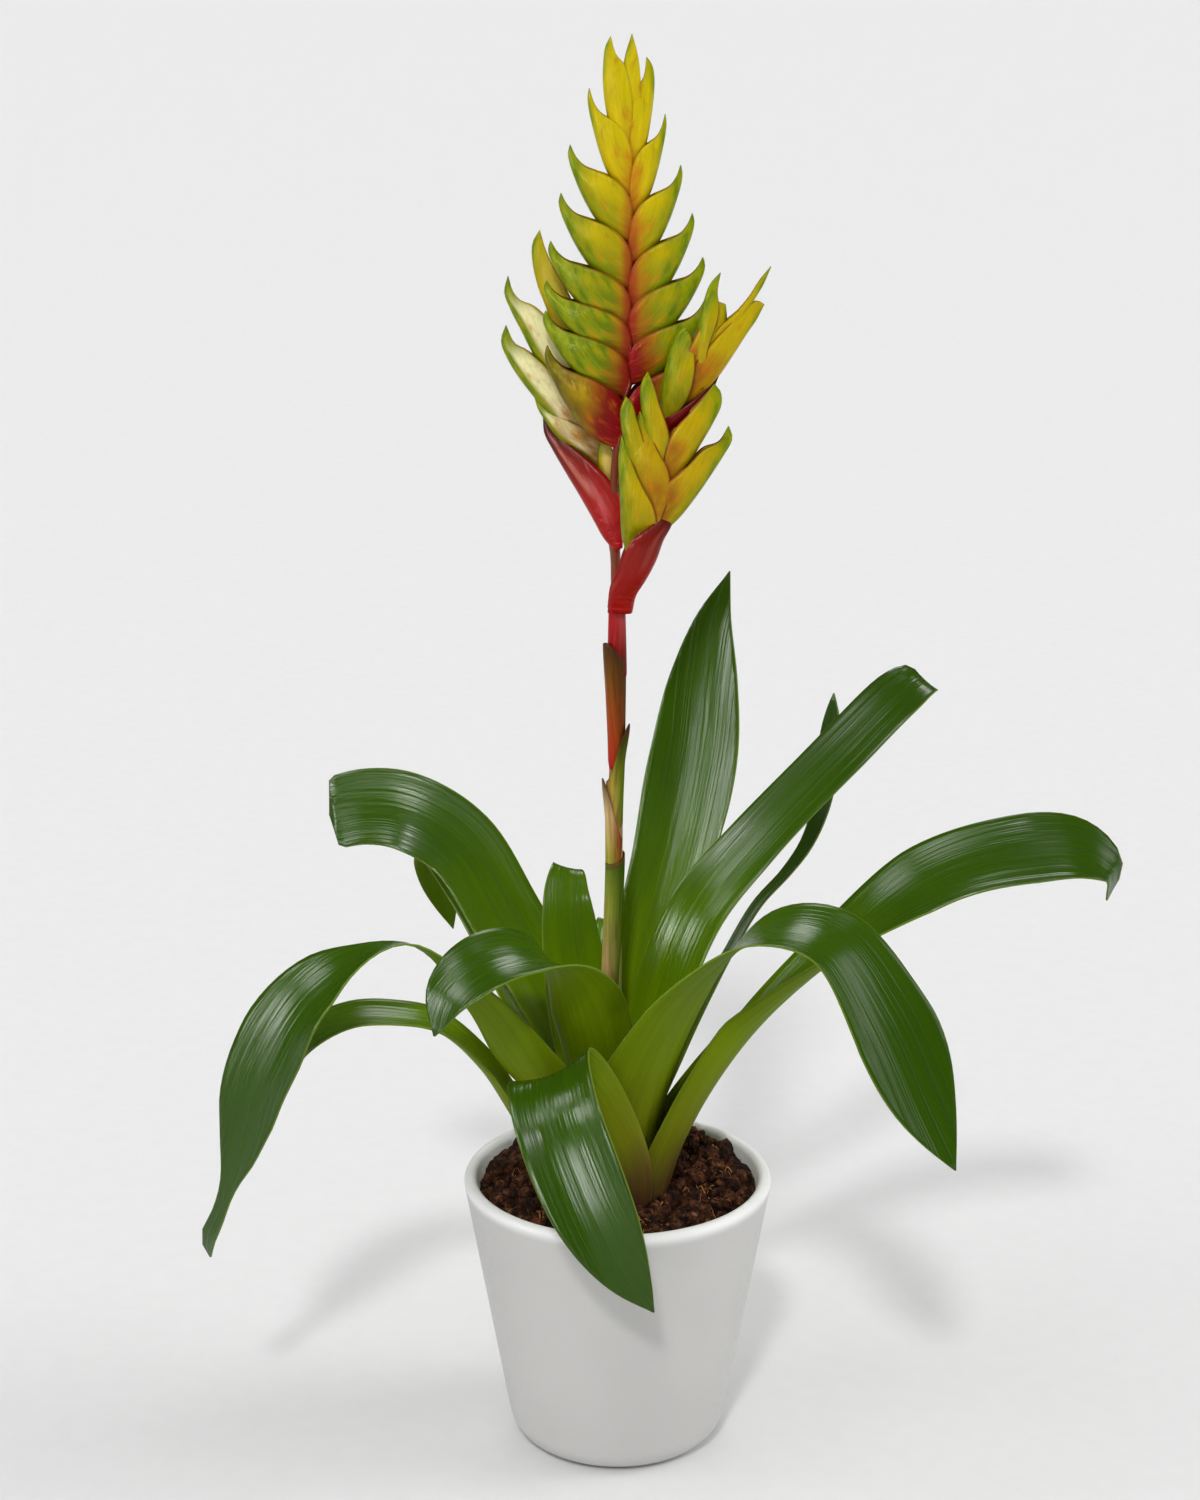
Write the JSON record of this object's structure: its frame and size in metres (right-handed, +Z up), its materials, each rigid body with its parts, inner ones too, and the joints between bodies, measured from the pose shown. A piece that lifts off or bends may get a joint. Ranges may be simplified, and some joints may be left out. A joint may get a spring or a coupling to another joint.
{
  "type": "potted bromeliad",
  "caption": "Potted bromeliad with long arching strap leaves and a tall flattened, branched flower spike, in a plain tapered round pot.",
  "frame": {"origin": "centre of the pot's flat base, on the surface it stands on", "axes": "+Z up along the pot's axis and the flower stalk, -Y towards the front, +X to the right as seen from the front"},
  "size_m": [0.3922, 0.2437, 0.6115],
  "materials": {
    "white_ceramic": "matt white glaze",
    "brown_coir": "rough dark brown coir and peat",
    "leaf_green": "glossy living leaf",
    "stem": "smooth living stem",
    "spike_yellow": "glossy living bract, yellow-green",
    "bract_red": "glossy living bract, crimson"
  },
  "bodies": {
    "root": {"pot": "white_ceramic", "soil": "brown_coir", "flower_stalk": "stem", "leaf_back_left": "leaf_green", "leaf_back_low": "leaf_green", "leaf_back_short": "leaf_green", "leaf_front": "leaf_green", "leaf_front_left": "leaf_green", "leaf_front_right": "leaf_green", "leaf_left_high": "leaf_green", "leaf_left_long": "leaf_green", "leaf_left_low": "leaf_green", "leaf_right_arching": "leaf_green", "leaf_right_high": "leaf_green", "leaf_right_narrow": "leaf_green", "leaf_upright": "leaf_green", "stalk_bract_1": "stem", "stalk_bract_2": "stem", "stalk_bract_3": "stem", "stalk_bract_4": "stem", "stalk_bract_5": "stem", "spike_bract_left_1": "spike_yellow", "spike_bract_left_2": "spike_yellow", "spike_bract_left_3": "spike_yellow", "spike_bract_left_4": "spike_yellow", "spike_bract_left_5": "spike_yellow", "spike_bract_left_6": "spike_yellow", "spike_bract_left_7": "spike_yellow", "spike_bract_left_8": "spike_yellow", "spike_bract_right_1": "spike_yellow", "spike_bract_right_2": "spike_yellow", "spike_bract_right_3": "spike_yellow", "spike_bract_right_4": "spike_yellow", "spike_bract_right_5": "spike_yellow", "spike_bract_right_6": "spike_yellow", "spike_bract_right_7": "spike_yellow", "spike_bract_top": "spike_yellow", "left_branch_bract_1": "spike_yellow", "left_branch_bract_2": "spike_yellow", "left_branch_bract_3": "spike_yellow", "left_branch_bract_4": "spike_yellow", "left_branch_bract_5": "spike_yellow", "left_branch_outer_bract": "bract_red", "lower_branch_bract_1": "spike_yellow", "lower_branch_bract_2": "spike_yellow", "lower_branch_bract_3": "spike_yellow", "lower_branch_bract_4": "spike_yellow", "lower_branch_bract_5": "spike_yellow", "lower_branch_outer_bract": "bract_red", "right_branch_bract_1": "spike_yellow", "right_branch_bract_2": "spike_yellow", "right_branch_bract_3": "spike_yellow", "right_branch_bract_4": "spike_yellow", "right_branch_bract_5": "spike_yellow", "right_branch_outer_bract": "bract_red"}
  },
  "joints": []
}
